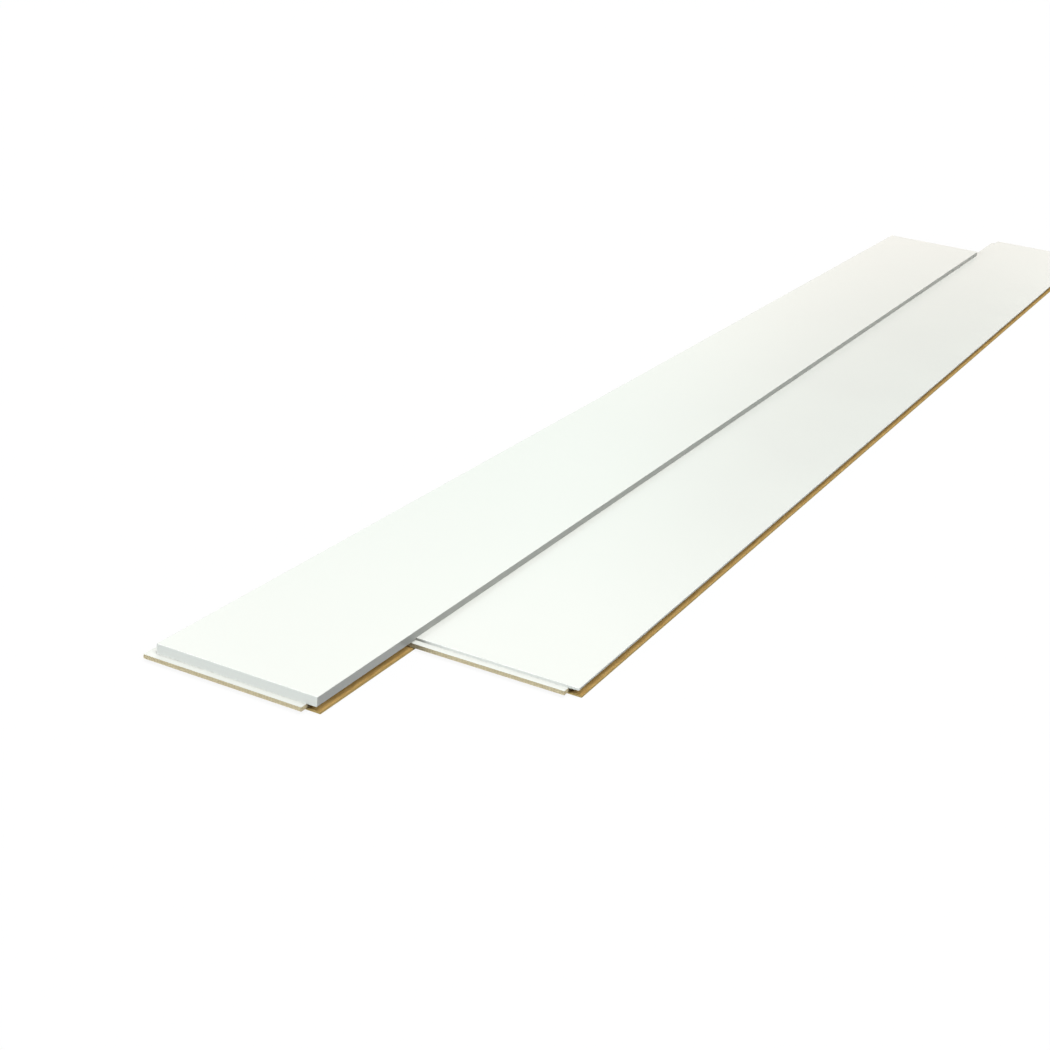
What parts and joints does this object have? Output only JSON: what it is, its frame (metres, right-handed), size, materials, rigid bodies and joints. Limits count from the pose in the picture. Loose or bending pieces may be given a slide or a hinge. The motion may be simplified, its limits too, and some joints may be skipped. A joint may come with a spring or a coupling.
{
  "type": "three-dimensional wall panel",
  "caption": "White foil-faced fibreboard wall panel with a step in its face: a thick and a thin tongue-and-groove board joined side by side, staggered lengthwise.",
  "frame": {"origin": "under the middle of the pair of boards, on the plane of their backs", "axes": "+X across the boards from the thick one to the thin one, +Y along them from the tongued front ends to the grooved back ends, +Z from the backs up to the faces"},
  "size_m": [0.3916, 2.8016, 0.019],
  "materials": {
    "raw_fibreboard": "raw milled",
    "white_foil": "satin"
  },
  "bodies": {
    "root": {"thick_board_core": "raw_fibreboard", "thick_board_foil": "white_foil", "thin_board_core": "raw_fibreboard", "thin_board_foil": "white_foil"}
  },
  "joints": []
}
